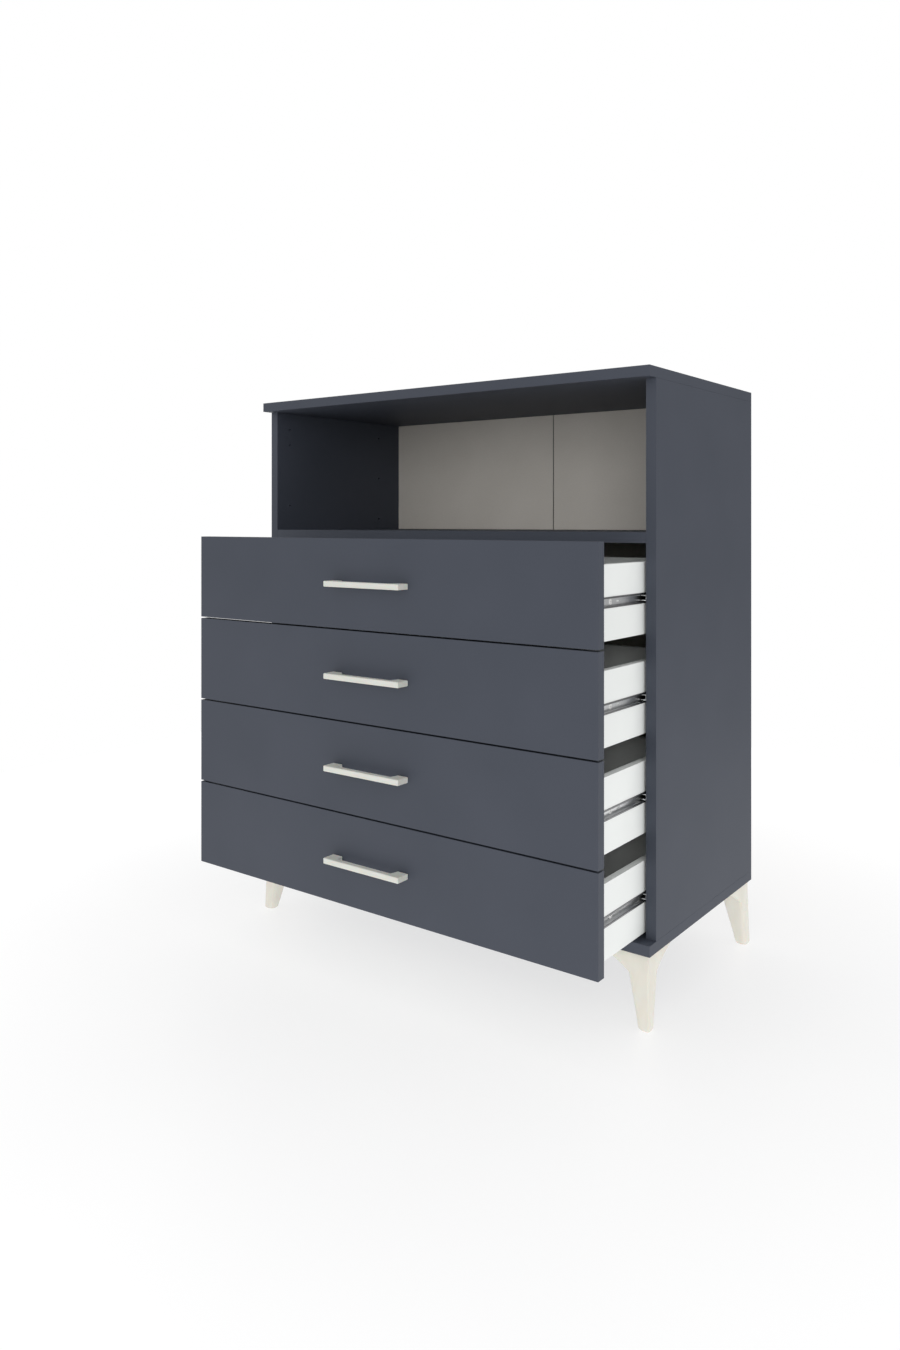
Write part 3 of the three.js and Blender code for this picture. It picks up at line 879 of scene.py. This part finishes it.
cabinet_places = []
for number in drawer_numbers:
    rail_places = []
    for side, hand in hands.items():
        low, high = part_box(f"drawer_{number}_rail_{side}")
        web = hand * (min(abs(low.x), abs(high.x)) + rail_sheet)
        height = (low.z + high.z) / 2
        rail_places += [facing((web, y, height), (hand, 0, 0))
                        for y in (low.y + from_rail_end, high.y - from_rail_end)]
        low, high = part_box(f"cabinet_rail_{number}_{side}")
        web = hand * (max(abs(low.x), abs(high.x)) - rail_sheet)
        cabinet_places += [facing((web, y, height), (-hand, 0, 0))
                           for y in (low.y + from_rail_end, high.y - from_rail_end)]
    copies(f"drawer_{number}_rail_screws", wide_head, rail_places, nickel, f"drawer_{number}")
copies("cabinet_rail_screws", narrow_head, cabinet_places, nickel, "carcass")

# %% [markdown]
# Screws of the handles and legs
#
# The handle's two screws come through the front from inside the drawer, so their heads sit on the
# rear of the front. Each leg hangs on two screws, one in each wing of its plate, under the bottom
# board. The plate is square to the board's corner, so one pair of distances serves all four legs
# once it is counted inwards from each corner.

# %% Screw on the handles and legs
handle_screw_spread = 150.4 * MM
leg_screw_far = 71.5 * MM
leg_screw_near = 22 * MM
leg_screws = ((leg_screw_far, leg_screw_near), (leg_screw_near, leg_screw_far))
plate_depth = 3.2 * MM

for number in drawer_numbers:
    low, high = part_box(f"drawer_{number}_front")
    height = (low.z + high.z) / 2
    handle_places = [facing((hand * handle_screw_spread / 2, high.y, height), (0, 1, 0))
                     for hand in hands.values()]
    copies(f"drawer_{number}_handle_screws", pan_head, handle_places, nickel, f"drawer_{number}")

low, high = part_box("bottom_board")
leg_places = []
for x, inward_x in ((low.x, 1), (high.x, -1)):
    for y, inward_y in ((low.y, 1), (high.y, -1)):
        for from_side, from_front in leg_screws:
            place = (x + inward_x * from_side, y + inward_y * from_front, low.z - plate_depth)
            leg_places.append(facing(place, (0, 0, -1)))
copies("leg_screws", pan_head, leg_places, nickel, "carcass")

# %% [markdown]
# Bearing balls
#
# Each slide runs on two rows of steel balls that sit in the flanges of a black cage. The balls of
# the solids have only a few faces, which is enough for weighing and for fitting. Smooth ones are
# added on the same places, a hair larger, and they ride on the cage, which moves half as
# far as the drawer does. An icosphere has no poles, so a glint runs over it evenly.

# %% Make one smooth ball
ball_radius = 1.2 * MM
ball_fineness = 3


def polished_ball():
    """A smooth ball round the origin."""
    shape = bmesh.new()
    bmesh.ops.create_icosphere(shape, subdivisions=ball_fineness, radius=ball_radius)
    for face in shape.faces:
        face.smooth = True
    mesh = bpy.data.meshes.new("ball")
    shape.to_mesh(mesh)
    shape.free()
    return mesh


ball = polished_ball()
print("one ball has", len(ball.polygons), "faces")

# %% [markdown]
# Filling the cages
#
# The balls sit 14 mm apart in each row, as many as the cage has room for, counted out from its
# middle. The rows lie 6 mm above and below the middle of the cage. Across, a ball lies midway
# between the cage's web and the ends of its flanges.

# %% Fill the cages with balls
ball_pitch = 14 * MM
ball_row_half = 6.0 * MM
cage_web = 1.0 * MM

for number in drawer_numbers:
    ball_places = []
    for side, hand in hands.items():
        low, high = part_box(f"ball_cage_{number}_{side}")
        near, far = sorted((abs(low.x), abs(high.x)))
        x = hand * (near + cage_web + far) / 2
        count = int((high.y - low.y - ball_pitch) / ball_pitch) + 1
        for step in range(count):
            y = (low.y + high.y) / 2 + (step - (count - 1) / 2) * ball_pitch
            for row in (-ball_row_half, ball_row_half):
                ball_places.append(Matrix.Translation((x, y, (low.z + high.z) / 2 + row)))
    copies(f"bearing_balls_{number}", ball, ball_places, ball_steel, f"ball_cages_{number}")

# %% [markdown]
# Measure and close
#
# The dressed chest must be no larger than its solids, or a copy of it would no longer stand where
# the plan says. So the box of the solids is printed.

# %% Write the sizes and finish
print("solids reach from", [round(v, 4) for v in cad_low], "to", [round(v, 4) for v in cad_high])
